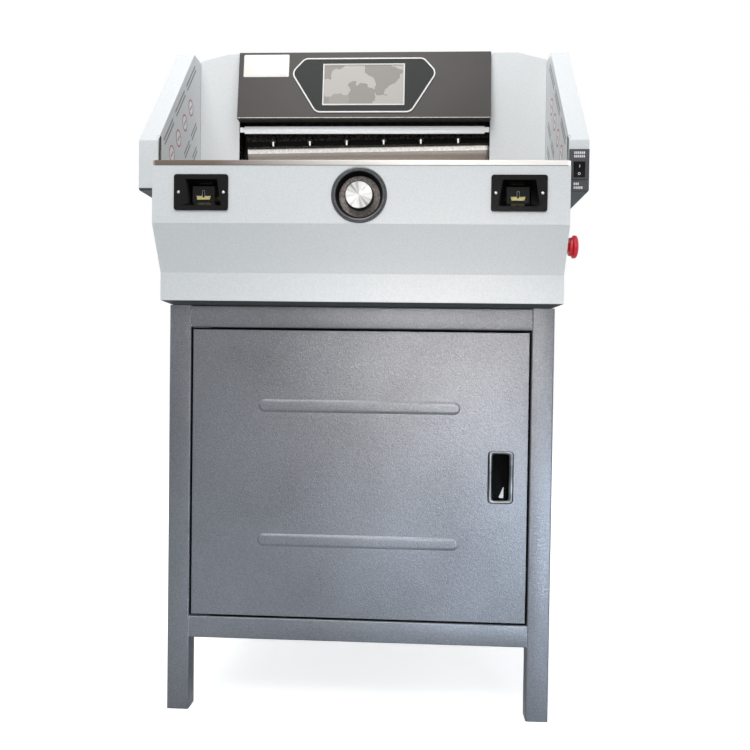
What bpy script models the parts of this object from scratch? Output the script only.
"""Automatic paper guillotine on a cabinet stand: metres, +Z up, origin on the floor under its middle.

Inside the file, y is the depth behind the front edge of the table. Every piece hangs on one empty, the
datum, which carries the whole machine back by half its depth.
"""

import math

import bmesh
import bpy
from mathutils import Matrix, Vector

# Fits, sheet and tools
GAP = 0.0003
OVERRUN = 0.01
SHEET = 0.0015
SLACK = 0.001

# Stand and its cabinet
STAND_SET_IN = 0.011
STAND_REAR_ROOM = 0.0274
STAND_HEIGHT = 0.741
STAND_SET_BACK = 0.0726
TUBE = 0.040
TUBE_WALL = 0.002
LEG_PLUG_INSET = 0.004
RAIL_HEIGHT = 0.133
PANEL_DEPTH = 0.015
PANEL_INSET = 0.004

# Cabinet door
DOOR_GAP = 0.003
DOOR_DEPTH = 0.020
DOOR_RIB_LENGTH = 0.361
DOOR_RIB_WIDTH = 0.019
DOOR_RIB_RISE = 0.0022
DOOR_RIBS_BELOW_DOORWAY = (0.3847, 0.1404)
PIVOT_IN = 0.008
PIVOT_BACK = 0.006
PIVOT_PIN_RADIUS = 0.003
PIVOT_PIN_LENGTH = 0.012
PIVOT_TAB_LENGTH = 0.034
PIVOT_TAB_WIDTH = 0.012
PIVOT_TAB_THICK = 0.002
HANDLE_FROM_LEG = 0.0513
HANDLE_BELOW_DOORWAY = 0.2624
HANDLE_WIDTH = 0.046
HANDLE_HEIGHT = 0.094
HANDLE_CORNER = 0.008
HANDLE_RIM = 0.0045
HANDLE_PROUD = 0.002
HANDLE_DEPTH = 0.017
HANDLE_FLOOR = 0.002
CATCH_SIZE = (0.028, 0.014, 0.045)
CATCH_BELOW_DOORWAY = 0.081

# Machine body
BASE_HEIGHT = 0.007
BODY_HEIGHT = 0.238
BODY_REAR = 0.700
BASE_TAPER = 0.016
FASCIA_SET_BACK = 0.001
FASCIA_BAND_HEIGHT = 0.108
FASCIA_KICK_HEIGHT = 0.0495
FASCIA_SLANT_RUN = 0.050
FASCIA_FLANGE = 0.018

# Table, its groove for the cutting stick and its slots
TABLE_THICK = 0.0085
TABLE_TAIL = 0.140
TABLE_TAIL_PAST_APERTURE = 0.013
TABLE_CORNER = 0.005
RIB_DEPTH = 0.044
RIB_DROP = 0.018
STICK_WIDTH = 0.012
STICK_DEEP = 0.010
GAUGE_SLOT_WIDTH = 0.012
ROD_SLOT_WIDTH = 0.075
ROD_SLOT_MARGIN = 0.003

# Portal: side frames, columns and head
APERTURE_WIDTH = 0.523
COLUMN_FRONT = 0.318
COLUMN_REAR = 0.442
COLUMN_HEIGHT = 0.297
COLUMN_SHOULDER = 0.060
COLUMN_SHOULDER_DROP = 0.015
FRAME_FRONT = 0.366
FRAME_REAR = 0.438
FRAME_SET_IN = 0.003
LEFT_FRAME_WIDTH = 0.066
RIGHT_FRAME_WIDTH = 0.096
FRAME_ROOM_LEFT = 0.012
FRAME_ROOM_RIGHT = 0.013
FRAME_BELOW_TOP = 0.021
FRAME_FOOT_REACH = 0.030
FRAME_FOOT_THICK = 0.018
HEAD_FRONT = 0.290
HEAD_ABOVE_TABLE = 0.154
HEAD_LEAN = 0.021
BEAM_ABOVE_HEAD_EDGE = 0.065
BEAM_THICK = 0.020
BEAM_DEPTH = 0.056

# Side guards beside the front table
WING_FROM_BODY = 0.0025
WING_THICK = 0.0345
WING_FRONT = 0.039
WING_BELOW_TABLE = 0.044
WING_NOSE_ABOVE_TABLE = 0.045
WING_SLOPE_RUN = 0.229
WING_BELOW_TOP = 0.019
WING_CORNER = 0.006
PASSAGE_BELOW_TOP = 0.060
PASSAGE_HEIGHT = 0.060
CURTAIN_WIDTH = 0.013
CURTAIN_HEIGHT = 0.050
CURTAIN_THICK = 0.004
CURTAIN_PROUD = 0.0006
CURTAIN_SET_BACK = 0.004
CURTAIN_ABOVE_TABLE = 0.0045

# Front bar under the head
BAR_HEIGHT = 0.0165
BAR_THICK = 0.008
BAR_BELOW_HEAD = 0.0155
BAR_END_GAP = 0.010
BAR_TAB = 0.004

# Control panel and screen on the head
PANEL_TOP_HALF = 0.1235
PANEL_VERTEX_HALF = 0.1515
PANEL_BOTTOM_HALF = 0.0985
PANEL_BELOW_TOP = 0.0125
PANEL_VERTEX_BELOW_TOP = 0.044
PANEL_BOTTOM_BELOW_TOP = 0.130
PANEL_THICK = 0.0015
PANEL_RIM = 0.003
PANEL_RIM_RISE = 0.0008
PANEL_CORNER = 0.010
SCREEN_WIDTH = 0.169
SCREEN_HEIGHT = 0.090
SCREEN_BELOW_TOP = 0.071
SCREEN_DEPTH = 0.009
SCREEN_BORDER = 0.0045
SCREEN_GLASS_INSET = 0.001

# Selector knob in its dish
KNOB_X = 0.0008
KNOB_BELOW_TABLE = 0.059
DISH_RADIUS = 0.048
DISH_MOUTH = 0.040
DISH_FLOOR = 0.0355
DISH_DEPTH = 0.016
DISH_PROUD = 0.003
DISH_WALL = 0.0018
KNOB_RADIUS = 0.0235
KNOB_FLARE = 0.002
KNOB_CHAMFER = 0.0012
SHAFT_RADIUS = 0.004
SHAFT_LENGTH = 0.030

# Start buttons
START_FROM_SIDE = 0.086
START_BELOW_TABLE = 0.0555
START_WIDTH = 0.0945
START_HEIGHT = 0.062
START_CORNER = 0.0045
START_PROUD = 0.0025
START_MOUTH_TOP = 0.0575
START_MOUTH_BOTTOM = 0.0725
START_MOUTH_HEIGHT = 0.0465
START_FUNNEL = 0.010
START_WELL_WIDTH = 0.042
START_WELL_HEIGHT = 0.031
START_WELL = 0.014
START_BUTTON_LIFT = 0.006
START_TRAVEL = 0.003
START_HOUSING_MARGIN = 0.005

# Emergency stop on the right side
STOP_DEPTH = 0.055
STOP_BELOW_TABLE = 0.138
STOP_RADIUS = 0.020
STOP_HEAD = 0.0105
STOP_NECK_RADIUS = 0.0165
STOP_NECK = 0.006
STOP_COLLAR_RADIUS = 0.019
STOP_COLLAR = 0.003
STOP_BARREL_RADIUS = 0.011
STOP_BARREL = 0.030
STOP_STEM_RADIUS = 0.0075
STOP_PIN_RADIUS = 0.004
STOP_TRAVEL = 0.004

# Power switch on the right guard
SWITCH_HEIGHT = 0.0715
SWITCH_THICK = 0.003
SWITCH_RIM_WIDTH = 0.0255
SWITCH_RIM_HEIGHT = 0.033
SWITCH_RIM_RISE = 0.002
SWITCH_BELOW_TABLE = 0.008
SWITCH_BORDER = 0.0021
SWITCH_DEPTH = 0.018
ROCKER_CROWN = 0.003
ROCKER_KEEL = 0.009
ROCKER_CLEARANCE = 0.0012

# Knife, its carrier and their drive
KNIFE_PAST_APERTURE = 0.020
KNIFE_LEFT_INSET = 0.008
KNIFE_THICK = 0.0087
KNIFE_BEVEL = 0.021
KNIFE_HEIGHT = 0.090
EDGE_CLEARANCE = 0.0005
CARRIER_THICK = 0.016
CARRIER_FRONT = 0.336
CARRIER_ABOVE_EDGE = 0.031
CARRIER_TOP_ABOVE_PIVOT = 0.018
LUG_HEIGHT = 0.050
BOLT_FROM_END = 0.0765
BOLT_RADIUS = 0.0065
BOLT_HEAD = 0.006
BOLT_ABOVE_CARRIER_EDGE = 0.009
PIVOT_FROM_SIDE = 0.077
PIVOT_TO_EDGE = 0.1871
KNIFE_STROKE = 0.0764
KNIFE_SWING = 0.030
ROLLER_FROM_SIDE = 0.076
ROLLER_RADIUS = 0.012
BLOCK_LENGTH = 0.032
BLOCK_WIDTH = 0.024
BLOCK_PIN_RADIUS = 0.006
BLOCK_PIN_LENGTH = 0.012
GUIDE_THICK = 0.014
GUIDE_ABOVE_HEAD_EDGE = 0.0025
GUIDE_BELOW_TOP = 0.005
GUIDE_ROOM_LEFT = 0.013
GUIDE_ROOM_RIGHT = 0.010
GUIDE_FLANGE = 0.010
ROD_FROM_FRAME = 0.049
ROD_PIN_ABOVE_HEAD_EDGE = 0.060
ROD_WIDTH = 0.026
ROD_THICK = 0.010
ROD_EYE_RADIUS = 0.018
ROD_PIN_RADIUS = 0.008
ROD_EYE_ABOVE_BASE = 0.112
CRANK_RADIUS = 0.054
CRANK_THICK = 0.012
CRANK_SHAFT_RADIUS = 0.015
CRANK_SHAFT_PAST_FRAME = 0.022
GEARBOX_SIZE = (0.100, 0.090, 0.122)
MOTOR_RADIUS = 0.048
MOTOR_LENGTH = 0.150
MOTOR_LIFT = 0.006
NOSE_WALL = 0.010

# Paper clamp and its screw
CLAMP_OPENING = 0.074
CLAMP_HEIGHT = 0.105
CLAMP_DEPTH = 0.038
CLAMP_END_GAP = 0.002
CLAMP_TONGUE_WIDTH = 0.0114
CLAMP_TONGUE = 0.006
CLAMP_SCREW_RADIUS = 0.008
CLAMP_SCREW_END = 0.006
CLAMP_MOTOR_RADIUS = 0.024
CLAMP_MOTOR_HEIGHT = 0.046

# Backgauge, its screw, rail and motor
GAUGE_FACE = 0.620
GAUGE_NEAREST = 0.408
GAUGE_REAR_ROOM = 0.060
GAUGE_SIDE_ROOM = 0.0095
GAUGE_HEIGHT = 0.056
GAUGE_DEPTH = 0.040
GAUGE_WALL = 0.010
GAUGE_SCREW_RADIUS = 0.008
GAUGE_SCREW_BELOW_TABLE = 0.061
GAUGE_NUT_WIDTH = 0.030
GAUGE_NUT_HEIGHT = 0.036
GAUGE_ARM_BACK = 0.010
GAUGE_ARM_DEPTH = 0.022
GAUGE_RAIL_OFFSET = 0.045
GAUGE_RAIL_RADIUS = 0.008
GAUGE_PLATE = 0.008
GAUGE_MOTOR_RADIUS = 0.028
GAUGE_MOTOR_LENGTH = 0.080
GAUGE_MOTOR_FACE = 0.400

# Rear cover and trough
HOOD_FRONT_HEIGHT = 0.118
HOOD_REAR_HEIGHT = 0.090
HOOD_SIDE_GAP = 0.001
TROUGH_WIDTH = 0.160
TROUGH_DROP = 0.085
INLET_FROM_SIDE = 0.118
INLET_ABOVE_BASE = 0.052
INLET_WIDTH = 0.048
INLET_HEIGHT = 0.028
INLET_FLANGE = 0.005
INLET_PROUD = 0.003
INLET_DEPTH = 0.024

# Roundness of turned and bent forms, in counts
ROUND_STEPS = 40
SMALL_STEPS = 20
ARC_STEPS = 4
BOLT_COUNT = 6
BOLT_SIDES = 6

# Tilt of the raised knife, in radians
KNIFE_SKEW = math.radians(0.97)
ROCKER_REST_TILT = math.radians(10)

# Places worked out from the sizes above
FRAME_ROOM = 2 * FRAME_SET_IN + FRAME_ROOM_LEFT + FRAME_ROOM_RIGHT
BODY_WIDTH = APERTURE_WIDTH + LEFT_FRAME_WIDTH + RIGHT_FRAME_WIDTH + FRAME_ROOM
BODY_BOTTOM = STAND_HEIGHT + BASE_HEIGHT
TABLE_TOP = BODY_BOTTOM + BODY_HEIGHT
TABLE_UNDER = TABLE_TOP - TABLE_THICK
TABLE_REAR = BODY_REAR + TABLE_TAIL
COLUMN_TOP = TABLE_TOP + COLUMN_HEIGHT
FRAME_TOP = COLUMN_TOP - FRAME_BELOW_TOP
HEAD_TOP = COLUMN_TOP
HEAD_BOTTOM = TABLE_TOP + HEAD_ABOVE_TABLE
BEAM_HEIGHT = HEAD_BOTTOM + BEAM_ABOVE_HEAD_EDGE
MIDDLE_DEPTH = (TABLE_REAR + FASCIA_SET_BACK - DISH_PROUD) / 2
PORTAL_X = FRAME_ROOM_LEFT + LEFT_FRAME_WIDTH + FRAME_SET_IN + APERTURE_WIDTH / 2 - BODY_WIDTH / 2
APERTURE_LEFT = PORTAL_X - APERTURE_WIDTH / 2
APERTURE_RIGHT = PORTAL_X + APERTURE_WIDTH / 2
LEFT_FRAME_INNER = APERTURE_LEFT - FRAME_SET_IN
RIGHT_FRAME_INNER = APERTURE_RIGHT + FRAME_SET_IN
TABLE_REAR_LEFT = APERTURE_LEFT - TABLE_TAIL_PAST_APERTURE
TABLE_REAR_RIGHT = APERTURE_RIGHT + TABLE_TAIL_PAST_APERTURE
STAND_WIDTH = BODY_WIDTH - 2 * STAND_SET_IN
STAND_FRONT = STAND_SET_BACK
STAND_REAR = BODY_REAR - STAND_REAR_ROOM
LEG_INNER = STAND_WIDTH / 2 - TUBE
RAIL_TOP = RAIL_HEIGHT + TUBE
DOORWAY_TOP = STAND_HEIGHT - TUBE
DOOR_RIB_HEIGHTS = tuple(DOORWAY_TOP - drop for drop in DOOR_RIBS_BELOW_DOORWAY)
HANDLE_X = LEG_INNER - HANDLE_FROM_LEG
HANDLE_Z = DOORWAY_TOP - HANDLE_BELOW_DOORWAY
CATCH_HEIGHT = DOORWAY_TOP - CATCH_BELOW_DOORWAY
FASCIA_BAND_BOTTOM = TABLE_TOP - FASCIA_BAND_HEIGHT
FASCIA_SLANT_BOTTOM = BODY_BOTTOM + FASCIA_KICK_HEIGHT
WING_INNER = BODY_WIDTH / 2 + WING_FROM_BODY
WING_OUTER = WING_INNER + WING_THICK
WING_BOTTOM = TABLE_TOP - WING_BELOW_TABLE
WING_NOSE_TOP = TABLE_TOP + WING_NOSE_ABOVE_TABLE
WING_TOP = COLUMN_TOP - WING_BELOW_TOP
CURTAIN_BOTTOM = TABLE_TOP + CURTAIN_ABOVE_TABLE
BAR_Z = HEAD_BOTTOM - BAR_BELOW_HEAD
PANEL_TOP_Z = HEAD_TOP - PANEL_BELOW_TOP
PANEL_VERTEX_Z = HEAD_TOP - PANEL_VERTEX_BELOW_TOP
PANEL_BOTTOM_Z = HEAD_TOP - PANEL_BOTTOM_BELOW_TOP
SCREEN_Z = HEAD_TOP - SCREEN_BELOW_TOP
KNOB_Z = TABLE_TOP - KNOB_BELOW_TABLE
START_X = BODY_WIDTH / 2 - START_FROM_SIDE
START_Z = TABLE_TOP - START_BELOW_TABLE
STOP_Z = TABLE_TOP - STOP_BELOW_TABLE
SWITCH_Z = TABLE_TOP - SWITCH_BELOW_TABLE
KNIFE_LENGTH = APERTURE_WIDTH + KNIFE_PAST_APERTURE
KNIFE_LEFT = APERTURE_LEFT + KNIFE_LEFT_INSET
KNIFE_RIGHT = KNIFE_LEFT + KNIFE_LENGTH
BOLT_PITCH = (KNIFE_LENGTH - 2 * BOLT_FROM_END) / (BOLT_COUNT - 1)
PIVOT_X = APERTURE_LEFT + PIVOT_FROM_SIDE
ROLLER_X = APERTURE_RIGHT - ROLLER_FROM_SIDE
GUIDE_LEFT = GUIDE_ROOM_LEFT - BODY_WIDTH / 2
GUIDE_RIGHT = BODY_WIDTH / 2 - GUIDE_ROOM_RIGHT
GUIDE_BOTTOM = HEAD_BOTTOM + GUIDE_ABOVE_HEAD_EDGE
GUIDE_TOP = COLUMN_TOP - GUIDE_BELOW_TOP
GUIDE_FRONT = COLUMN_FRONT + SHEET + GAP
GUIDE_REAR = GUIDE_FRONT + GUIDE_THICK
ROD_X = RIGHT_FRAME_INNER + ROD_FROM_FRAME
ROD_PIN_Z = HEAD_BOTTOM + ROD_PIN_ABOVE_HEAD_EDGE
ROD_LENGTH = ROD_PIN_Z - BODY_BOTTOM - ROD_EYE_ABOVE_BASE
ROD_FRONT = CARRIER_FRONT + CARRIER_THICK + GAP
ROD_REAR = ROD_FRONT + ROD_THICK
CRANK_FRONT = ROD_REAR + SLACK
BASE_TOP = BODY_BOTTOM - GAP
HEAD_TILT = math.atan2(HEAD_LEAN, HEAD_TOP - HEAD_BOTTOM)
KNIFE_BACK = CARRIER_FRONT + CARRIER_THICK + GAP + KNIFE_THICK
PIVOT_Z = TABLE_TOP + EDGE_CLEARANCE + PIVOT_TO_EDGE + KNIFE_STROKE
STICK_FRONT = KNIFE_BACK - STICK_WIDTH / 2
CLAMP_FRONT = KNIFE_BACK + 2 * GAP
CLAMP_BOTTOM = TABLE_TOP + CLAMP_OPENING
CLAMP_SCREW_Y = CLAMP_FRONT + CLAMP_DEPTH / 2
GAUGE_FARTHEST = TABLE_REAR - GAUGE_REAR_ROOM
GAUGE_WIDTH = APERTURE_WIDTH - 2 * GAUGE_SIDE_ROOM
GAUGE_SCREW_Z = TABLE_TOP - GAUGE_SCREW_BELOW_TABLE
INLET_X = BODY_WIDTH / 2 - INLET_FROM_SIDE
INLET_Z = BODY_BOTTOM + INLET_ABOVE_BASE

# Each upright: its side, its face towards the aperture, and its width away from it
UPRIGHTS = (("left", LEFT_FRAME_INNER, -LEFT_FRAME_WIDTH), ("right", RIGHT_FRAME_INNER, RIGHT_FRAME_WIDTH))

MATERIALS = {
    "body_paint": ((0.76, 0.79, 0.80), 0.45, 0.0),
    "stand_paint": ((0.20, 0.205, 0.22), 0.40, 0.35),
    "head_paint": ((0.100, 0.092, 0.088), 0.50, 0.0),
    "ground_steel": ((0.42, 0.40, 0.38), 0.32, 1.0),
    "cast_iron": ((0.16, 0.16, 0.165), 0.60, 0.6),
    "bright_bar": ((0.72, 0.73, 0.74), 0.25, 1.0),
    "knife_steel": ((0.50, 0.48, 0.46), 0.25, 1.0),
    "chrome": ((0.75, 0.75, 0.76), 0.12, 1.0),
    "black_plastic": ((0.020, 0.020, 0.022), 0.40, 0.0),
    "grey_plastic": ((0.105, 0.105, 0.112), 0.45, 0.0),
    "screen_glass": ((0.33, 0.31, 0.29), 0.15, 0.0),
    "stop_red": ((0.74, 0.010, 0.026), 0.30, 0.0),
    "stop_yellow": ((0.85, 0.45, 0.05), 0.40, 0.0),
    "stick_plastic": ((0.55, 0.10, 0.08), 0.50, 0.0),
}


def clear_scene():
    for item in list(bpy.data.objects):
        bpy.data.objects.remove(item)


def new_collection(name):
    group = bpy.data.collections.new(name)
    bpy.context.scene.collection.children.link(group)
    return group


def paint(name):
    """The material of this name, made when it is first asked for."""
    found = bpy.data.materials.get(name)
    if found:
        return found
    colour, roughness, metallic = MATERIALS[name]
    made = bpy.data.materials.new(name)
    made.use_nodes = True
    shader = made.node_tree.nodes["Principled BSDF"]
    shader.inputs["Base Color"].default_value = (*colour, 1.0)
    shader.inputs["Roughness"].default_value = roughness
    shader.inputs["Metallic"].default_value = metallic
    made.diffuse_color = (*colour, 1.0)
    return made


def place(mesh, name, finish):
    """An object of this mesh on the datum: a piece if it has a finish, a cutter if it has none."""
    item = bpy.data.objects.new(name, mesh)
    item.parent = DATUM
    if finish:
        PIECES.objects.link(item)
        mesh.materials.append(paint(finish))
    else:
        TOOLS.objects.link(item)
        item.hide_render = True
        item.display_type = "WIRE"
    return item


def from_form(form, name, finish):
    mesh = bpy.data.meshes.new(name)
    form.to_mesh(mesh)
    form.free()
    return place(mesh, name, finish)


def box(name, low, high, finish=None):
    form = bmesh.new()
    bmesh.ops.create_cube(form, size=1)
    bmesh.ops.scale(form, vec=[b - a for a, b in zip(low, high)], verts=form.verts)
    bmesh.ops.translate(form, vec=[(a + b) / 2 for a, b in zip(low, high)], verts=form.verts)
    return from_form(form, name, finish)


def funnel(name, front, rear, front_half, rear_half, finish=None):
    """A block that narrows from its front to its rear.

    Each end is given as (half width at the top, half width at the bottom, half height)."""
    form = bmesh.new()
    bmesh.ops.create_cube(form, size=2)
    for vert in form.verts:
        middle, half = (front, front_half) if vert.co.y < 0 else (rear, rear_half)
        across = half[0] if vert.co.z > 0 else half[1]
        vert.co = (
            middle[0] + vert.co.x * across,
            middle[1],
            middle[2] + vert.co.z * half[2],
        )
    return from_form(form, name, finish)


def rod(name, start, end, radius, finish=None, steps=SMALL_STEPS, end_radius=None):
    start, end = Vector(start), Vector(end)
    along = end - start
    form = bmesh.new()
    bmesh.ops.create_cone(
        form,
        cap_ends=True,
        segments=steps,
        radius1=radius,
        radius2=radius if end_radius is None else end_radius,
        depth=along.length,
        matrix=Matrix.Translation((start + end) / 2) @ along.to_track_quat("Z", "Y").to_matrix().to_4x4(),
    )
    item = from_form(form, name, finish)
    item.data.shade_smooth()
    item.data.set_sharp_from_angle(angle=math.radians(40))
    return item


TURN_OF_PLANE = {
    "X": Matrix(((0, 0, 1), (1, 0, 0), (0, 1, 0))),
    "Y": Matrix(((1, 0, 0), (0, 0, -1), (0, 1, 0))),
    "Z": Matrix.Identity(3),
}


def prism(name, outline, axis, low, high, finish=None):
    """A flat outline carried along an axis.

    Its points are (y, z) for the X axis, (x, z) for the Y axis and (x, y) for the Z axis."""
    curve = bpy.data.curves.new(name, "CURVE")
    curve.dimensions = "2D"
    curve.fill_mode = "BOTH"
    curve.extrude = (high - low) / 2
    spline = curve.splines.new("POLY")
    spline.points.add(len(outline) - 1)
    for point, (u, v) in zip(spline.points, outline):
        point.co = (u, v, 0, 1)
    spline.use_cyclic_u = True
    drawn = bpy.data.objects.new(name, curve)
    mesh = bpy.data.meshes.new_from_object(drawn)
    bpy.data.objects.remove(drawn)
    form = bmesh.new()
    form.from_mesh(mesh)
    bpy.data.meshes.remove(mesh)
    bmesh.ops.remove_doubles(form, verts=form.verts, dist=GAP / 30)
    turn = TURN_OF_PLANE[axis].to_4x4()
    middle = turn.col[2].xyz.normalized() * (1 if axis != "Y" else -1) * (low + high) / 2
    bmesh.ops.transform(form, matrix=Matrix.Translation(middle) @ turn, verts=form.verts)
    bmesh.ops.recalc_face_normals(form, faces=form.faces)
    return from_form(form, name, finish)


def turned(name, profile, origin, axis, finish=None, steps=ROUND_STEPS):
    """A closed profile of (radius, distance along the axis) points, turned about the axis."""
    following = profile[1:] + profile[:1]
    area = sum(a[0] * b[1] - b[0] * a[1] for a, b in zip(profile, following))
    if area > 0:
        profile = profile[::-1]
    form = bmesh.new()
    ring = [form.verts.new((radius, 0, along)) for radius, along in profile]
    on_axis = profile[0][0] == 0 and profile[-1][0] == 0
    ends = ring[1:] if on_axis else ring[1:] + ring[:1]
    for first, second in zip(ring, ends):
        form.edges.new((first, second))
    item = from_form(form, name, finish)
    screw = item.modifiers.new("turn", "SCREW")
    screw.steps = screw.render_steps = steps
    screw.use_merge_vertices = True
    screw.merge_threshold = GAP / 30
    screw.use_smooth_shade = True
    item.rotation_euler = Vector(axis).to_track_quat("Z", "Y").to_euler()
    item.location = origin
    return item


def sheet(name, profile, axis_low, axis_high, thickness, finish=None):
    """A folded sheet: an open (y, z) profile carried along X, its wall inside the fold."""
    form = bmesh.new()
    line = [form.verts.new((axis_low, y, z)) for y, z in profile]
    edges = [form.edges.new(pair) for pair in zip(line, line[1:])]
    made = bmesh.ops.extrude_edge_only(form, edges=edges)["geom"]
    moved = [part for part in made if isinstance(part, bmesh.types.BMVert)]
    bmesh.ops.translate(form, vec=(axis_high - axis_low, 0, 0), verts=moved)
    item = from_form(form, name, finish)
    wall = item.modifiers.new("wall", "SOLIDIFY")
    wall.thickness = thickness
    wall.offset = 1
    wall.use_even_offset = True
    return item


def boolean(item, other, operation):
    step = item.modifiers.new(other.name, "BOOLEAN")
    step.operation = operation
    step.object = other
    return item


def cut(item, *others):
    for other in others:
        boolean(item, other, "DIFFERENCE")
    return item


def join(item, *others):
    for other in others:
        boolean(item, other, "UNION")
    return item


def break_edges(item, width, segments=1, angle=50):
    bevel = item.modifiers.new("edges", "BEVEL")
    bevel.width = width
    bevel.segments = segments
    bevel.limit_method = "ANGLE"
    bevel.angle_limit = math.radians(angle)
    return item


def set_origin(item, point):
    """Moves the piece's own origin to a point, as its joint needs, and leaves its shape where it is."""
    point = Vector(point)
    item.data.transform(Matrix.Translation(item.location - point))
    item.location = point
    return item


def rounded(points, radius, steps=ARC_STEPS):
    """The outline with each corner replaced by an arc of this radius."""
    made = []
    count = len(points)
    for i, corner in enumerate(points):
        corner = Vector(corner)
        before = (Vector(points[i - 1]) - corner).normalized()
        after = (Vector(points[(i + 1) % count]) - corner).normalized()
        half = before.angle(after) / 2
        reach = radius / math.tan(half)
        centre = corner + (before + after).normalized() * radius / math.sin(half)
        start = corner + before * reach - centre
        end = corner + after * reach - centre
        sweep = start.angle_signed(end)
        for k in range(steps + 1):
            turn = -sweep * k / steps
            c, s = math.cos(turn), math.sin(turn)
            made.append((centre.x + start.x * c - start.y * s, centre.y + start.x * s + start.y * c))
    return made


def rectangle(u0, u1, v0, v1):
    return [(u0, v0), (u1, v0), (u1, v1), (u0, v1)]


def inset(points, distance):
    """The outline moved inwards by a distance on every side. Its points run anticlockwise."""
    made = []
    count = len(points)
    for i, corner in enumerate(points):
        corner = Vector(corner)
        ahead = (Vector(points[(i + 1) % count]) - corner).normalized()
        behind = (corner - Vector(points[i - 1])).normalized()
        left_ahead = Vector((-ahead.y, ahead.x))
        left_behind = Vector((-behind.y, behind.x))
        across = left_ahead + left_behind
        made.append(tuple(corner + across * distance * 2 / across.length_squared))
    return made


def at_rest_tilt(item, pivot, angle):
    """Turns a piece about the Y axis through its own origin."""
    set_origin(item, pivot)
    item.rotation_euler = (0, angle, 0)
    return item


def stand():
    """Welded frame of square tube: four legs with plugs, and a ring of rails at the top and low down."""
    half = STAND_WIDTH / 2
    posts = [
        ("front_left", -half, STAND_FRONT),
        ("front_right", half - TUBE, STAND_FRONT),
        ("rear_left", -half, STAND_REAR - TUBE),
        ("rear_right", half - TUBE, STAND_REAR - TUBE),
    ]
    frame = box(
        "stand_frame",
        (-half, STAND_FRONT, STAND_HEIGHT - TUBE),
        (half, STAND_REAR, STAND_HEIGHT),
        "stand_paint",
    )
    hollow = box(
        "cut_between_top_rails",
        (-LEG_INNER, STAND_FRONT + TUBE, DOORWAY_TOP - OVERRUN),
        (LEG_INNER, STAND_REAR - TUBE, STAND_HEIGHT + OVERRUN),
    )
    ring = box("low_rails", (-half, STAND_FRONT, RAIL_HEIGHT), (half, STAND_REAR, RAIL_TOP))
    low_hollow = box(
        "cut_between_low_rails",
        (-LEG_INNER, STAND_FRONT + TUBE, RAIL_HEIGHT - OVERRUN),
        (LEG_INNER, STAND_REAR - TUBE, RAIL_TOP + OVERRUN),
    )
    cut(frame, hollow)
    join(frame, cut(ring, low_hollow))
    for name, x, y in posts:
        join(frame, box(f"leg_{name}", (x, y, 0), (x + TUBE, y + TUBE, STAND_HEIGHT)))
    for name, x, y in posts:
        mouth = box(
            f"cut_leg_mouth_{name}",
            (x + TUBE_WALL, y + TUBE_WALL, -OVERRUN),
            (x + TUBE - TUBE_WALL, y + TUBE - TUBE_WALL, LEG_PLUG_INSET),
        )
        cut(frame, mouth)


def cabinet():
    """Sheet pans that close the two sides, the back and the floor of the stand."""
    low, high = RAIL_TOP + GAP, DOORWAY_TOP - GAP
    front, rear = STAND_FRONT + TUBE + GAP, STAND_REAR - TUBE - GAP
    for name, sign in (("left", -1), ("right", 1)):
        outer = sign * (STAND_WIDTH / 2 - PANEL_INSET)
        inner = outer - sign * PANEL_DEPTH
        pan = box(
            f"cabinet_{name}_panel",
            (min(outer, inner), front, low),
            (max(outer, inner), rear, high),
            "stand_paint",
        )
        past = inner - sign * OVERRUN
        floor = outer - sign * SHEET
        inside = box(
            f"cut_{name}_pan",
            (min(floor, past), front + SHEET, low + SHEET),
            (max(floor, past), rear - SHEET, high - SHEET),
        )
        cut(pan, inside)
    side = LEG_INNER - GAP
    outer = STAND_REAR - PANEL_INSET
    back = box(
        "cabinet_back_panel",
        (-side, outer - PANEL_DEPTH, low),
        (side, outer, high),
        "stand_paint",
    )
    inside = box(
        "cut_back_pan",
        (-side + SHEET, outer - PANEL_DEPTH - OVERRUN, low + SHEET),
        (side - SHEET, outer - SHEET, high - SHEET),
    )
    cut(back, inside)
    box(
        "cabinet_floor",
        (-side, front, RAIL_TOP - SHEET),
        (side, rear, RAIL_TOP),
        "stand_paint",
    )


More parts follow.
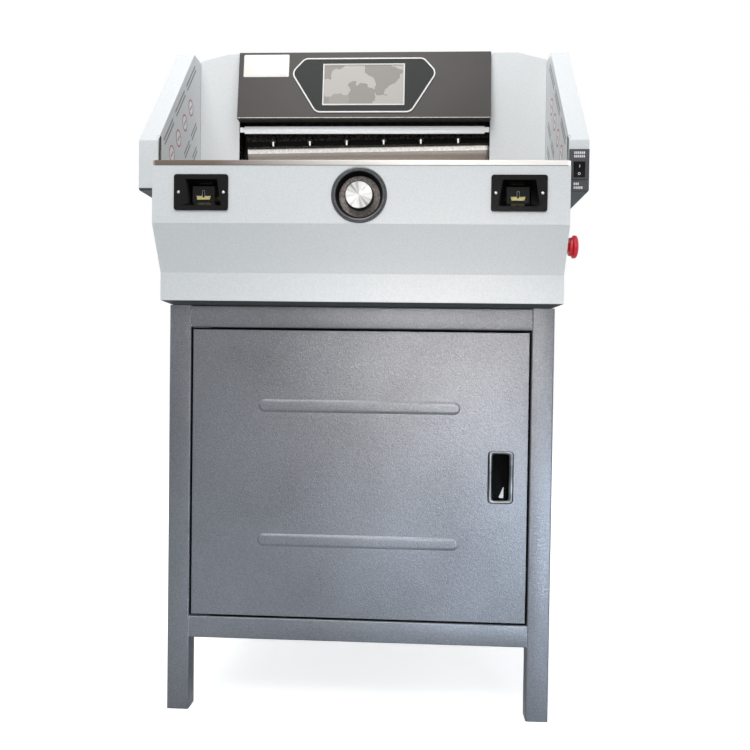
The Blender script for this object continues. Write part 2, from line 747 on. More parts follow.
def door():
    """Pan door with two pressed ribs, hung on a pin at the top and the bottom of its left edge."""
    left, right = -LEG_INNER + DOOR_GAP, LEG_INNER - DOOR_GAP
    low, high = RAIL_TOP + DOOR_GAP, DOORWAY_TOP - DOOR_GAP
    front = STAND_FRONT
    pivot = (left + PIVOT_IN, front + PIVOT_BACK, (low + high) / 2)
    leaf = box("door", (left, front, low), (right, front + DOOR_DEPTH, high), "stand_paint")
    inside = box(
        "cut_door_pan",
        (left + SHEET, front + SHEET, low + SHEET),
        (right - SHEET, front + DOOR_DEPTH + OVERRUN, high - SHEET),
    )
    cut(leaf, inside)
    half, rise = DOOR_RIB_LENGTH / 2, DOOR_RIB_WIDTH / 2
    for number, height in enumerate(DOOR_RIB_HEIGHTS, 1):
        outline = rounded(
            rectangle(-half, half, height - rise, height + rise), rise - GAP, ARC_STEPS
        )
        rib = prism(f"door_rib_{number}", outline, "Y", front - DOOR_RIB_RISE, front + SHEET / 2)
        break_edges(rib, DOOR_RIB_RISE - 2 * GAP)
        join(leaf, rib)
    x, z = HANDLE_X, HANDLE_Z
    wide, tall = HANDLE_WIDTH / 2 - HANDLE_RIM, HANDLE_HEIGHT / 2 - HANDLE_RIM
    corner = HANDLE_CORNER - HANDLE_RIM / 2
    hole = prism(
        "cut_handle_hole",
        rounded(rectangle(x - wide - GAP, x + wide + GAP, z - tall - GAP, z + tall + GAP), corner),
        "Y",
        front - OVERRUN,
        front + DOOR_DEPTH,
    )
    cut(leaf, hole)
    for name, face in (("lower", low), ("upper", high)):
        bore = rod(
            f"cut_{name}_pivot_hole",
            (pivot[0], pivot[1], face - OVERRUN),
            (pivot[0], pivot[1], face + OVERRUN),
            PIVOT_PIN_RADIUS + GAP,
        )
        cut(leaf, bore)
    set_origin(leaf, pivot)

    rim = prism(
        "door_handle",
        rounded(
            rectangle(
                x - HANDLE_WIDTH / 2, x + HANDLE_WIDTH / 2, z - HANDLE_HEIGHT / 2, z + HANDLE_HEIGHT / 2
            ),
            HANDLE_CORNER,
        ),
        "Y",
        front - HANDLE_PROUD,
        front - GAP,
        "chrome",
    )
    cup = prism(
        "handle_cup",
        rounded(rectangle(x - wide, x + wide, z - tall, z + tall), corner),
        "Y",
        front - HANDLE_PROUD / 2,
        front + HANDLE_DEPTH,
    )
    wide, tall = wide - SHEET, tall - SHEET
    hollow = prism(
        "cut_handle_hollow",
        rounded(rectangle(x - wide, x + wide, z - tall, z + tall), corner - SHEET / 2),
        "Y",
        front - OVERRUN,
        front + HANDLE_DEPTH - HANDLE_FLOOR,
    )
    cut(join(rim, cup), hollow)
    set_origin(rim, pivot)

    for name, face, up in (("lower", RAIL_TOP, 1), ("upper", DOORWAY_TOP, -1)):
        near = face + up * GAP
        far = near + up * PIVOT_TAB_THICK
        tab = box(
            f"door_hinge_{name}",
            (pivot[0] - PIVOT_IN, pivot[1] - PIVOT_TAB_WIDTH / 4, min(near, far)),
            (pivot[0] - PIVOT_IN + PIVOT_TAB_LENGTH, pivot[1] + PIVOT_TAB_WIDTH, max(near, far)),
            "ground_steel",
        )
        pin = rod(
            f"hinge_pin_{name}",
            (pivot[0], pivot[1], (near + far) / 2),
            (pivot[0], pivot[1], near + up * PIVOT_PIN_LENGTH),
            PIVOT_PIN_RADIUS,
            steps=SMALL_STEPS // 2,
        )
        join(tab, pin)
    catch_wide, catch_deep, catch_tall = CATCH_SIZE
    catch_front = front + DOOR_DEPTH + GAP
    box(
        "door_catch",
        (LEG_INNER - GAP - catch_wide, catch_front, CATCH_HEIGHT),
        (LEG_INNER - GAP, catch_front + catch_deep, CATCH_HEIGHT + catch_tall),
        "black_plastic",
    )


def fascia_profile():
    """The outside of the front cover, top to bottom, as (y, z) points."""
    front = FASCIA_SET_BACK
    return [
        (front, TABLE_UNDER - GAP),
        (front, FASCIA_BAND_BOTTOM),
        (front + FASCIA_SLANT_RUN, FASCIA_SLANT_BOTTOM),
        (front + FASCIA_SLANT_RUN, BODY_BOTTOM),
    ]


def body():
    """Base plate and the folded sheets round the body: fascia, two sides, back, and the trough behind it."""
    half = BODY_WIDTH / 2
    front = FASCIA_SET_BACK + FASCIA_SLANT_RUN
    base = box(
        "machine_base",
        (-half + GAP, front + GAP, STAND_HEIGHT + GAP),
        (half - GAP, BODY_REAR, BASE_TOP),
        "grey_plastic",
    )
    for vert in base.data.vertices:
        if vert.co.z < (STAND_HEIGHT + BODY_BOTTOM) / 2:
            vert.co.x -= math.copysign(BASE_TAPER, vert.co.x)
            vert.co.y += BASE_TAPER if vert.co.y < BODY_REAR / 2 else -BASE_TAPER

    profile = fascia_profile()
    flanged = [
        (profile[0][0] + FASCIA_FLANGE, profile[0][1]),
        *profile,
        (profile[-1][0] + FASCIA_FLANGE, profile[-1][1]),
    ]
    cover = sheet("front_fascia", flanged, -half, half, SHEET, "body_paint")
    neck = DISH_MOUTH + DISH_WALL + GAP
    band_front, band_back = FASCIA_SET_BACK - OVERRUN, FASCIA_SET_BACK + OVERRUN
    knob_hole = rod(
        "cut_dish_hole",
        (KNOB_X, band_front, KNOB_Z),
        (KNOB_X, band_back, KNOB_Z),
        neck,
        steps=ROUND_STEPS,
    )
    cut(cover, knob_hole)
    for name, sign in (("left", -1), ("right", 1)):
        near, far = sorted((sign * (half - SHEET - GAP), sign * (half + OVERRUN)))
        for end, (y, z) in (("top", profile[0]), ("bottom", profile[-1])):
            notch = box(
                f"cut_{name}_{end}_flange_end",
                (near, y + SHEET + GAP, z - FASCIA_FLANGE / 2),
                (far, y + 2 * FASCIA_FLANGE, z + FASCIA_FLANGE / 2),
            )
            cut(cover, notch)
    wide, tall = start_housing()
    for name, x in (("left", -START_X), ("right", START_X)):
        window = box(
            f"cut_{name}_start_window",
            (x - wide - GAP, band_front, START_Z - tall - GAP),
            (x + wide + GAP, band_back, START_Z + tall + GAP),
        )
        cut(cover, window)

    lean = math.atan2(FASCIA_SLANT_RUN, FASCIA_BAND_BOTTOM - FASCIA_SLANT_BOTTOM)
    behind = (SHEET + GAP) / math.cos(lean)
    top, bottom = TABLE_UNDER - GAP, BODY_BOTTOM + GAP
    rear = BODY_REAR - SHEET - GAP
    flank = [(y + behind, z) for y, z in profile]
    flank[-1] = (flank[-1][0], bottom)
    flank += [(rear, bottom), (rear, top)]
    stop_hole = rod(
        "cut_stop_hole",
        (half - OVERRUN, STOP_DEPTH, STOP_Z),
        (half + OVERRUN, STOP_DEPTH, STOP_Z),
        STOP_BARREL_RADIUS + GAP,
    )
    prism("left_body_cover", flank, "X", -half, -half + SHEET, "body_paint")
    cut(prism("right_body_cover", flank, "X", half - SHEET, half, "body_paint"), stop_hole)

    back = box(
        "rear_body_cover",
        (-half, BODY_REAR - SHEET, bottom),
        (half, BODY_REAR, top),
        "body_paint",
    )
    trough_left = PORTAL_X - TROUGH_WIDTH / 2
    trough_right = PORTAL_X + TROUGH_WIDTH / 2
    trough_low = TABLE_UNDER - TROUGH_DROP
    passage = box(
        "cut_screw_passage",
        (trough_left + 2 * SHEET, BODY_REAR - OVERRUN, trough_low + 2 * SHEET),
        (trough_right - 2 * SHEET, BODY_REAR + OVERRUN, TABLE_UNDER + OVERRUN),
    )
    inlet = box(
        "cut_inlet_hole",
        (INLET_X - INLET_WIDTH / 2 - GAP, BODY_REAR - OVERRUN, INLET_Z - INLET_HEIGHT / 2 - GAP),
        (INLET_X + INLET_WIDTH / 2 + GAP, BODY_REAR + OVERRUN, INLET_Z + INLET_HEIGHT / 2 + GAP),
    )
    cut(back, passage, inlet)
    trough = box(
        "rear_trough",
        (trough_left, BODY_REAR + GAP, trough_low),
        (trough_right, TABLE_REAR, TABLE_UNDER - GAP),
        "body_paint",
    )
    inside = box(
        "cut_trough",
        (trough_left + SHEET, BODY_REAR - OVERRUN, trough_low + SHEET),
        (trough_right - SHEET, TABLE_REAR - SHEET, TABLE_UNDER + OVERRUN),
    )
    cut(trough, inside)

    socket = box(
        "power_inlet",
        (INLET_X - INLET_WIDTH / 2, BODY_REAR - INLET_DEPTH, INLET_Z - INLET_HEIGHT / 2),
        (INLET_X + INLET_WIDTH / 2, BODY_REAR + INLET_PROUD / 2, INLET_Z + INLET_HEIGHT / 2),
        "black_plastic",
    )
    flange = box(
        "inlet_flange",
        (
            INLET_X - INLET_WIDTH / 2 - INLET_FLANGE,
            BODY_REAR + GAP,
            INLET_Z - INLET_HEIGHT / 2 - INLET_FLANGE,
        ),
        (
            INLET_X + INLET_WIDTH / 2 + INLET_FLANGE,
            BODY_REAR + INLET_PROUD,
            INLET_Z + INLET_HEIGHT / 2 + INLET_FLANGE,
        ),
    )
    mouth = box(
        "cut_inlet_mouth",
        (
            INLET_X - INLET_WIDTH / 2 + 2 * SHEET,
            BODY_REAR - INLET_DEPTH + 2 * SHEET,
            INLET_Z - INLET_HEIGHT / 2 + 2 * SHEET,
        ),
        (
            INLET_X + INLET_WIDTH / 2 - 2 * SHEET,
            BODY_REAR + OVERRUN,
            INLET_Z + INLET_HEIGHT / 2 - 2 * SHEET,
        ),
    )
    cut(join(socket, flange), mouth)


def side_frames():
    """Two cast uprights: they stand on the base, pass the table and carry the knife and the head."""
    for name, inner, out in UPRIGHTS:
        x0, x1 = sorted((inner, inner + out))
        frame = box(
            f"{name}_side_frame",
            (x0, FRAME_FRONT, BASE_TOP + GAP),
            (x1, FRAME_REAR, FRAME_TOP),
            "cast_iron",
        )
        foot = box(
            f"{name}_frame_foot",
            (x0, FRAME_FRONT, BASE_TOP + GAP),
            (x1, FRAME_REAR + FRAME_FOOT_REACH, BASE_TOP + GAP + FRAME_FOOT_THICK),
        )
        sign = math.copysign(1, out)
        keyway = box(
            f"cut_{name}_clamp_keyway",
            (
                min(inner - sign * OVERRUN, inner + sign * (CLAMP_TONGUE + SLACK)),
                CLAMP_SCREW_Y - CLAMP_TONGUE_WIDTH / 2 - GAP,
                TABLE_TOP - OVERRUN,
            ),
            (
                max(inner - sign * OVERRUN, inner + sign * (CLAMP_TONGUE + SLACK)),
                CLAMP_SCREW_Y + CLAMP_TONGUE_WIDTH / 2 + GAP,
                BEAM_HEIGHT - OVERRUN,
            ),
        )
        cut(join(frame, foot), keyway)
        if name == "right":
            crank_x, crank_z, throw = crank()
            journal = rod(
                "cut_crank_journal",
                (crank_x, FRAME_FRONT - OVERRUN, crank_z),
                (crank_x, FRAME_REAR + OVERRUN, crank_z),
                CRANK_SHAFT_RADIUS + GAP,
            )
            pocket = box(
                "cut_crank_pocket",
                (x0 - OVERRUN, FRAME_FRONT - OVERRUN, crank_z - CRANK_RADIUS - SLACK),
                (x1 + OVERRUN, CRANK_FRONT + CRANK_THICK + GAP, crank_z + CRANK_RADIUS + SLACK),
            )
            cut(frame, pocket, journal)

    beam_front = CLAMP_SCREW_Y - BEAM_DEPTH / 2 + SHEET
    beam = box(
        "head_beam",
        (LEFT_FRAME_INNER + GAP, beam_front, BEAM_HEIGHT),
        (RIGHT_FRAME_INNER - GAP, beam_front + BEAM_DEPTH, BEAM_HEIGHT + BEAM_THICK),
        "cast_iron",
    )
    bore = rod(
        "cut_clamp_screw_bore",
        (PORTAL_X, CLAMP_SCREW_Y, BEAM_HEIGHT - OVERRUN),
        (PORTAL_X, CLAMP_SCREW_Y, BEAM_HEIGHT + BEAM_THICK + OVERRUN),
        CLAMP_SCREW_RADIUS + GAP,
    )
    cut(beam, bore)


def table():
    """Cast table plate with a rib under the cut, the groove with its cutting stick, and its slots."""
    half = BODY_WIDTH / 2
    outline = [
        (-half, TABLE_CORNER),
        (-half + TABLE_CORNER, 0),
        (half - TABLE_CORNER, 0),
        (half, TABLE_CORNER),
        (half, BODY_REAR),
        (TABLE_REAR_RIGHT, BODY_REAR),
        (TABLE_REAR_RIGHT, TABLE_REAR),
        (TABLE_REAR_LEFT, TABLE_REAR),
        (TABLE_REAR_LEFT, BODY_REAR),
        (-half, BODY_REAR),
    ]
    plate = prism("table", outline, "Z", TABLE_UNDER, TABLE_TOP, "ground_steel")
    rib = box(
        "table_rib",
        (APERTURE_LEFT, STICK_FRONT - RIB_DEPTH / 2, TABLE_UNDER - RIB_DROP),
        (APERTURE_RIGHT, STICK_FRONT + RIB_DEPTH / 2, TABLE_UNDER + TABLE_THICK / 2),
    )
    join(plate, rib)
    groove = box(
        "cut_stick_groove",
        (APERTURE_LEFT - SLACK, STICK_FRONT - GAP, TABLE_TOP - STICK_DEEP - GAP),
        (APERTURE_RIGHT + SLACK, STICK_FRONT + STICK_WIDTH + GAP, TABLE_TOP + OVERRUN),
    )
    slot_front = GAUGE_NEAREST + GAUGE_ARM_BACK - SLACK
    slot_rear = GAUGE_FARTHEST + GAUGE_ARM_BACK + GAUGE_ARM_DEPTH + SLACK
    slot = box(
        "cut_gauge_slot",
        (PORTAL_X - GAUGE_SLOT_WIDTH / 2, slot_front, TABLE_UNDER - OVERRUN),
        (PORTAL_X + GAUGE_SLOT_WIDTH / 2, slot_rear, TABLE_TOP + OVERRUN),
    )
    rod_left = ROD_X - KNIFE_SWING - ROD_WIDTH / 2 - SLACK
    rod_slot = box(
        "cut_rod_slot",
        (rod_left, ROD_FRONT - ROD_SLOT_MARGIN, TABLE_UNDER - OVERRUN),
        (rod_left + ROD_SLOT_WIDTH, FRAME_FRONT, TABLE_TOP + OVERRUN),
    )
    cut(plate, groove, slot, rod_slot)
    for name, inner, out in UPRIGHTS:
        x0, x1 = sorted((inner, inner + out))
        window = box(
            f"cut_{name}_frame_window",
            (x0 - GAP, FRAME_FRONT - GAP, TABLE_UNDER - RIB_DROP - OVERRUN),
            (x1 + GAP, FRAME_REAR + GAP, TABLE_TOP + OVERRUN),
        )
        cut(plate, window)
    box(
        "cutting_stick",
        (APERTURE_LEFT, STICK_FRONT, TABLE_TOP - STICK_DEEP),
        (APERTURE_RIGHT, STICK_FRONT + STICK_WIDTH, TABLE_TOP),
        "stick_plastic",
    )


def columns():
    """Sheet covers over the uprights, each open towards the aperture and at the bottom."""
    for name, inner, sign in (("left", APERTURE_LEFT, -1), ("right", APERTURE_RIGHT, 1)):
        outer = sign * (WING_INNER - GAP)
        shoulder = outer - sign * COLUMN_SHOULDER
        low = TABLE_TOP + GAP
        outline = [
            (inner, low),
            (outer, low),
            (outer, COLUMN_TOP - COLUMN_SHOULDER_DROP),
            (shoulder, COLUMN_TOP),
            (inner, COLUMN_TOP),
        ]
        if sign < 0:
            outline.reverse()
        cover = prism(f"{name}_column_cover", outline, "Y", COLUMN_FRONT, COLUMN_REAR, "body_paint")
        wall = inset(outline, SHEET)
        open_side, open_foot = inner - sign * OVERRUN, low - OVERRUN
        past = [
            (open_side if abs(x - inner) < 2 * SHEET else x, open_foot if z < low + 2 * SHEET else z)
            for x, z in wall
        ]
        hollow = prism(f"cut_{name}_column", past, "Y", COLUMN_FRONT + SHEET, COLUMN_REAR - SHEET)
        cut(cover, hollow)


def lean(item, proud):
    """Lays a piece drawn flat on the plane y = 0 against the head's leaning front."""
    base = Vector((PORTAL_X, HEAD_FRONT, HEAD_BOTTOM))
    tilt = Matrix.Rotation(-HEAD_TILT, 4, "X")
    forward = Matrix.Translation(tilt @ Vector((0, -proud, 0)))
    item.data.transform(Matrix.Translation(base) @ forward @ tilt)
    return item


def head():
    """Dark leaning front cover, the light cover behind it, and the bright bar that hangs below."""
    left, right = APERTURE_LEFT + GAP, APERTURE_RIGHT - GAP
    rear = COLUMN_FRONT - GAP
    outline = [
        (HEAD_FRONT, HEAD_BOTTOM),
        (rear, HEAD_BOTTOM),
        (rear, HEAD_TOP),
        (HEAD_FRONT + HEAD_LEAN, HEAD_TOP),
    ]
    cover = prism("head_cover", outline, "X", left, right, "head_paint")
    inner = inset(outline, SHEET)
    inner = [(rear + OVERRUN if y > HEAD_FRONT + HEAD_LEAN + SHEET * 2 else y, z) for y, z in inner]
    hollow = prism("cut_head", inner, "X", left + SHEET, right - SHEET)
    cut(cover, hollow)
    window = lean(
        box(
            "cut_screen_window",
            (-SCREEN_WIDTH / 2 - GAP, -OVERRUN, slope_rise(SCREEN_Z) - SCREEN_HEIGHT / 2 - GAP),
            (SCREEN_WIDTH / 2 + GAP, OVERRUN, slope_rise(SCREEN_Z) + SCREEN_HEIGHT / 2 + GAP),
        ),
        0,
    )
    cut(cover, window)

    profile = [
        (COLUMN_REAR, TABLE_TOP + HOOD_FRONT_HEIGHT),
        (COLUMN_REAR, HEAD_TOP),
        (COLUMN_FRONT + GAP, HEAD_TOP),
    ]
    sheet("head_top_cover", profile, left, right, SHEET, "body_paint")

    low, high = BAR_Z - BAR_HEIGHT / 2, BAR_Z + BAR_HEIGHT / 2
    bar = box(
        "front_bar",
        (APERTURE_LEFT + BAR_END_GAP, COLUMN_FRONT, low),
        (APERTURE_RIGHT - BAR_END_GAP, COLUMN_FRONT + BAR_THICK, high),
        "bright_bar",
    )
    tab = box(
        "front_bar_tabs",
        (APERTURE_LEFT + GAP, COLUMN_FRONT, low + BAR_TAB / 2),
        (APERTURE_RIGHT - GAP, COLUMN_FRONT + SHEET, high - BAR_TAB / 2),
    )
    join(bar, tab)
    break_edges(bar, SLACK)


def slope_rise(z):
    """How far up the leaning front a height lies, from the head's lower edge."""
    return (z - HEAD_BOTTOM) / math.cos(HEAD_TILT)


def control_panel():
    """Six-sided panel with a raised rim on the leaning front, round the touch screen."""
    points = [
        (-PANEL_BOTTOM_HALF, slope_rise(PANEL_BOTTOM_Z)),
        (PANEL_BOTTOM_HALF, slope_rise(PANEL_BOTTOM_Z)),
        (PANEL_VERTEX_HALF, slope_rise(PANEL_VERTEX_Z)),
        (PANEL_TOP_HALF, slope_rise(PANEL_TOP_Z)),
        (-PANEL_TOP_HALF, slope_rise(PANEL_TOP_Z)),
        (-PANEL_VERTEX_HALF, slope_rise(PANEL_VERTEX_Z)),
    ]
    plate = prism(
        "control_panel", rounded(points, PANEL_CORNER), "Y", -PANEL_THICK - PANEL_RIM_RISE, 0, "head_paint"
    )
    field = prism(
        "cut_panel_field",
        rounded(inset(points, PANEL_RIM), PANEL_CORNER - PANEL_RIM),
        "Y",
        -OVERRUN,
        -PANEL_THICK,
    )
    middle = slope_rise(SCREEN_Z)
    opening = box(
        "cut_panel_opening",
        (-SCREEN_WIDTH / 2 - GAP, -OVERRUN, middle - SCREEN_HEIGHT / 2 - GAP),
        (SCREEN_WIDTH / 2 + GAP, OVERRUN, middle + SCREEN_HEIGHT / 2 + GAP),
    )
    glass = box(
        "screen",
        (-SCREEN_WIDTH / 2, -PANEL_THICK - PANEL_RIM_RISE, middle - SCREEN_HEIGHT / 2),
        (SCREEN_WIDTH / 2, SCREEN_DEPTH, middle + SCREEN_HEIGHT / 2),
        "screen_glass",
    )
    recess = box(
        "cut_screen_recess",
        (-SCREEN_WIDTH / 2 + SCREEN_BORDER, -OVERRUN, middle - SCREEN_HEIGHT / 2 + SCREEN_BORDER),
        (
            SCREEN_WIDTH / 2 - SCREEN_BORDER,
            -PANEL_THICK - PANEL_RIM_RISE + SCREEN_GLASS_INSET,
            middle + SCREEN_HEIGHT / 2 - SCREEN_BORDER,
        ),
    )
    for item in (plate, field, opening, glass, recess):
        lean(item, GAP)
    cut(plate, field, opening)
    cut(glass, recess)


def wing_outline():
    """Side view of a guard, anticlockwise: a short nose, a long slope and a level top."""
    return [
        (WING_FRONT, WING_BOTTOM),
        (COLUMN_REAR, WING_BOTTOM),
        (COLUMN_REAR, WING_TOP),
        (WING_FRONT + WING_SLOPE_RUN, WING_TOP),
        (WING_FRONT, WING_NOSE_TOP),
    ]


def guards():
    """Hollow sheet guards beside the front table, each with a light barrier window at its nose."""
    outline = rounded(wing_outline(), WING_CORNER)
    core = rounded(inset(wing_outline(), SHEET), WING_CORNER - SHEET)
    passage_top = WING_TOP - PASSAGE_BELOW_TOP
    for name, sign in (("left", -1), ("right", 1)):
        inner, outer = sign * WING_INNER, sign * WING_OUTER
        guard = prism(
            f"{name}_guard_wing", outline, "X", min(inner, outer), max(inner, outer), "body_paint"
        )
        low, high = sorted((inner + sign * SHEET, outer - sign * SHEET))
        hollow = prism(f"cut_{name}_guard", core, "X", low, high)
        near, far = sorted((inner - sign * OVERRUN, outer - sign * 2 * SHEET))
        passage = box(
            f"cut_{name}_guard_passage",
            (near, FRAME_FRONT, passage_top - PASSAGE_HEIGHT),
            (far, FRAME_REAR - OVERRUN, passage_top),
        )
        cut(guard, hollow, passage)
        y0 = WING_FRONT + CURTAIN_SET_BACK
        face = inner - sign * CURTAIN_PROUD
        back = face + sign * CURTAIN_THICK
        window = box(
            f"cut_{name}_curtain",
            (min(face, back) - GAP, y0 - GAP, CURTAIN_BOTTOM - GAP),
            (max(face, back) + GAP, y0 + CURTAIN_WIDTH + GAP, CURTAIN_BOTTOM + CURTAIN_HEIGHT + GAP),
        )
        cut(guard, window)
        box(
            f"light_curtain_{name}",
            (min(face, back), y0, CURTAIN_BOTTOM),
            (max(face, back), y0 + CURTAIN_WIDTH, CURTAIN_BOTTOM + CURTAIN_HEIGHT),
            "black_plastic",
        )
        if sign > 0:
            width, height = switch_housing()
            middle = (WING_INNER + WING_OUTER) / 2
            mouth = box(
                "cut_switch_hole",
                (middle - width / 2 - GAP, WING_FRONT - OVERRUN, SWITCH_Z - height / 2 - GAP),
                (middle + width / 2 + GAP, WING_FRONT + OVERRUN, SWITCH_Z + height / 2 + GAP),
            )
            cut(guard, mouth)


def switch_housing():
    return SWITCH_RIM_WIDTH - 2 * SWITCH_BORDER, SWITCH_RIM_HEIGHT - 2 * SWITCH_BORDER


def switch():
    """Switch plate on the nose of the right guard, with a rim and housing round the power rocker."""
    middle = (WING_INNER + WING_OUTER) / 2
    width, height = switch_housing()
    back = WING_FRONT - GAP
    front = back - SWITCH_THICK
    plate = box(
        "switch_panel",
        (WING_INNER, front, SWITCH_Z - SWITCH_HEIGHT / 2),
        (WING_OUTER, back, SWITCH_Z + SWITCH_HEIGHT / 2),
        "grey_plastic",
    )
    rim = box(
        "switch_rim",
        (middle - SWITCH_RIM_WIDTH / 2, front - SWITCH_RIM_RISE, SWITCH_Z - SWITCH_RIM_HEIGHT / 2),
        (middle + SWITCH_RIM_WIDTH / 2, front + SWITCH_THICK / 2, SWITCH_Z + SWITCH_RIM_HEIGHT / 2),
    )
    housing = box(
        "switch_housing",
        (middle - width / 2, front + SWITCH_THICK / 2, SWITCH_Z - height / 2),
        (middle + width / 2, front + SWITCH_DEPTH, SWITCH_Z + height / 2),
    )
    inside = box(
        "cut_switch_mouth",
        (middle - width / 2 + SLACK, front - OVERRUN, SWITCH_Z - height / 2 + SLACK),
        (middle + width / 2 - SLACK, front + SWITCH_DEPTH - SLACK, SWITCH_Z + height / 2 - SLACK),
    )
    cut(join(plate, rim, housing), inside)
    half = height / 2 - SLACK - ROCKER_CLEARANCE
    outline = [
        (front - SWITCH_RIM_RISE + SLACK - ROCKER_CROWN, SWITCH_Z - half),
        (front - SWITCH_RIM_RISE + SLACK, SWITCH_Z),
        (front - SWITCH_RIM_RISE + SLACK - ROCKER_CROWN, SWITCH_Z + half),
        (front + ROCKER_CROWN, SWITCH_Z + half),
        (front + ROCKER_KEEL, SWITCH_Z),
        (front + ROCKER_CROWN, SWITCH_Z - half),
    ]
    outline.reverse()
    wide = width / 2 - SLACK - ROCKER_CLEARANCE / 2
    rocker = prism("power_rocker", outline, "X", middle - wide, middle + wide, "black_plastic")
    set_origin(rocker, (middle, front + SLACK, SWITCH_Z))
    rocker.rotation_euler = (ROCKER_REST_TILT, 0, 0)


def knob():
    """Deep dish let into the fascia, and the spun-faced selector knob on its shaft."""
    face = -(DISH_PROUD - DISH_WALL)
    dish = [
        (SHAFT_RADIUS + GAP, DISH_DEPTH),
        (DISH_FLOOR, DISH_DEPTH),
        (DISH_MOUTH, -DISH_PROUD),
        (DISH_RADIUS - DISH_WALL / 2, -DISH_PROUD),
        (DISH_RADIUS, face),
        (DISH_RADIUS, -GAP),
        (DISH_MOUTH + DISH_WALL, -GAP),
        (DISH_FLOOR + DISH_WALL, DISH_DEPTH + DISH_WALL),
        (SHAFT_RADIUS + GAP, DISH_DEPTH + DISH_WALL),
    ]
    origin = (KNOB_X, FASCIA_SET_BACK, KNOB_Z)
    turned("knob_bezel", dish, origin, (0, 1, 0), "black_plastic")
    grip = [
        (0, SHAFT_LENGTH),
        (SHAFT_RADIUS, SHAFT_LENGTH),
        (SHAFT_RADIUS, DISH_DEPTH - SLACK),
        (KNOB_RADIUS + KNOB_FLARE, DISH_DEPTH - SLACK),
        (KNOB_RADIUS, -DISH_PROUD + KNOB_CHAMFER),
        (KNOB_RADIUS - KNOB_CHAMFER, -DISH_PROUD),
        (0, -DISH_PROUD),
    ]
    turned("selector_knob", grip, origin, (0, 1, 0), "black_plastic")


def start_housing():
    """Half width and half height of a start button's housing."""
    wide = max(START_MOUTH_TOP, START_MOUTH_BOTTOM) / 2 + START_HOUSING_MARGIN
    return wide, START_MOUTH_HEIGHT / 2 + START_HOUSING_MARGIN


def start_buttons():
    """Two start buttons, each sunk in a funnel so that it takes one deliberate press of each hand."""
    wide, tall = start_housing()
    face = FASCIA_SET_BACK
    for name, x in (("left", -START_X), ("right", START_X)):
        outline = rounded(
            rectangle(
                x - START_WIDTH / 2,
                x + START_WIDTH / 2,
                START_Z - START_HEIGHT / 2,
                START_Z + START_HEIGHT / 2,
            ),
            START_CORNER,
        )
        plate = prism(f"start_plate_{name}", outline, "Y", face - START_PROUD, face - GAP, "black_plastic")
        well_back = face + START_FUNNEL + START_WELL
        housing = box(
            f"start_housing_{name}",
            (x - wide, face - START_PROUD / 2, START_Z - tall),
            (x + wide, well_back + SHEET, START_Z + tall),
        )
        mouth = funnel(
            f"cut_start_mouth_{name}",
            (x, face - START_PROUD - SLACK, START_Z),
            (x, face + START_FUNNEL, START_Z),
            (START_MOUTH_TOP / 2, START_MOUTH_BOTTOM / 2, START_MOUTH_HEIGHT / 2),
            (START_WELL_WIDTH / 2, START_WELL_WIDTH / 2, START_WELL_HEIGHT / 2),
        )
        well = box(
            f"cut_start_well_{name}",
            (x - START_WELL_WIDTH / 2, face + START_FUNNEL - SLACK, START_Z - START_WELL_HEIGHT / 2),
            (x + START_WELL_WIDTH / 2, well_back, START_Z + START_WELL_HEIGHT / 2),
        )
        cut(join(plate, housing), mouth, well)
        button = box(
            f"start_button_{name}",
            (
                x - START_WELL_WIDTH / 2 + GAP,
                face + START_FUNNEL + START_BUTTON_LIFT,
                START_Z - START_WELL_HEIGHT / 2 + GAP,
            ),
            (
                x + START_WELL_WIDTH / 2 - GAP,
                well_back - START_TRAVEL - GAP,
                START_Z + START_WELL_HEIGHT / 2 - GAP,
            ),
            "black_plastic",
        )
        break_edges(button, SLACK)


def emergency_stop():
    """Collar, sliding stem and mushroom head on the right side, pushed in along X and twisted out."""
    side = BODY_WIDTH / 2
    origin = (side, STOP_DEPTH, STOP_Z)
    collar = [
        (STOP_STEM_RADIUS + GAP, STOP_COLLAR),
        (STOP_COLLAR_RADIUS - SLACK, STOP_COLLAR),
        (STOP_COLLAR_RADIUS, STOP_COLLAR - SLACK),
        (STOP_COLLAR_RADIUS, GAP),
        (STOP_BARREL_RADIUS, GAP),
        (STOP_BARREL_RADIUS, -STOP_BARREL),
        (STOP_STEM_RADIUS + GAP, -STOP_BARREL),
    ]
    turned("estop_collar", collar, origin, (1, 0, 0), "stop_yellow", SMALL_STEPS)
    neck_start = STOP_COLLAR + STOP_TRAVEL + GAP
    neck_end = neck_start + STOP_NECK
    stem = [
        (0, neck_end + STOP_HEAD / 2),
        (STOP_PIN_RADIUS, neck_end + STOP_HEAD / 2),
        (STOP_PIN_RADIUS, neck_end),
        (STOP_NECK_RADIUS, neck_end),
        (STOP_NECK_RADIUS, neck_start),
        (STOP_STEM_RADIUS, neck_start),
        (STOP_STEM_RADIUS, -STOP_BARREL + STOP_TRAVEL),
        (0, -STOP_BARREL + STOP_TRAVEL),
    ]
    turned("estop_stem", stem, origin, (1, 0, 0), "stop_red", SMALL_STEPS)
    head_start = neck_end + GAP
    top = head_start + STOP_HEAD
    crown = STOP_RADIUS * STOP_RADIUS
    dome = [(0, top)]
    for k in range(1, ARC_STEPS + 1):
        radius = STOP_RADIUS * k / (ARC_STEPS + 1)
        dome.append((radius, top - STOP_HEAD / 2 * radius * radius / crown))
    mushroom = [
        *dome,
        (STOP_RADIUS, top - STOP_HEAD / 2),
        (STOP_RADIUS, head_start + SLACK),
        (STOP_RADIUS - SLACK, head_start),
        (STOP_PIN_RADIUS + GAP, head_start),
        (STOP_PIN_RADIUS + GAP, neck_end + STOP_HEAD / 2 + GAP),
        (0, neck_end + STOP_HEAD / 2 + GAP),
    ]
    turned("estop_head", mushroom, origin, (1, 0, 0), "stop_red", ROUND_STEPS - SMALL_STEPS // 2)


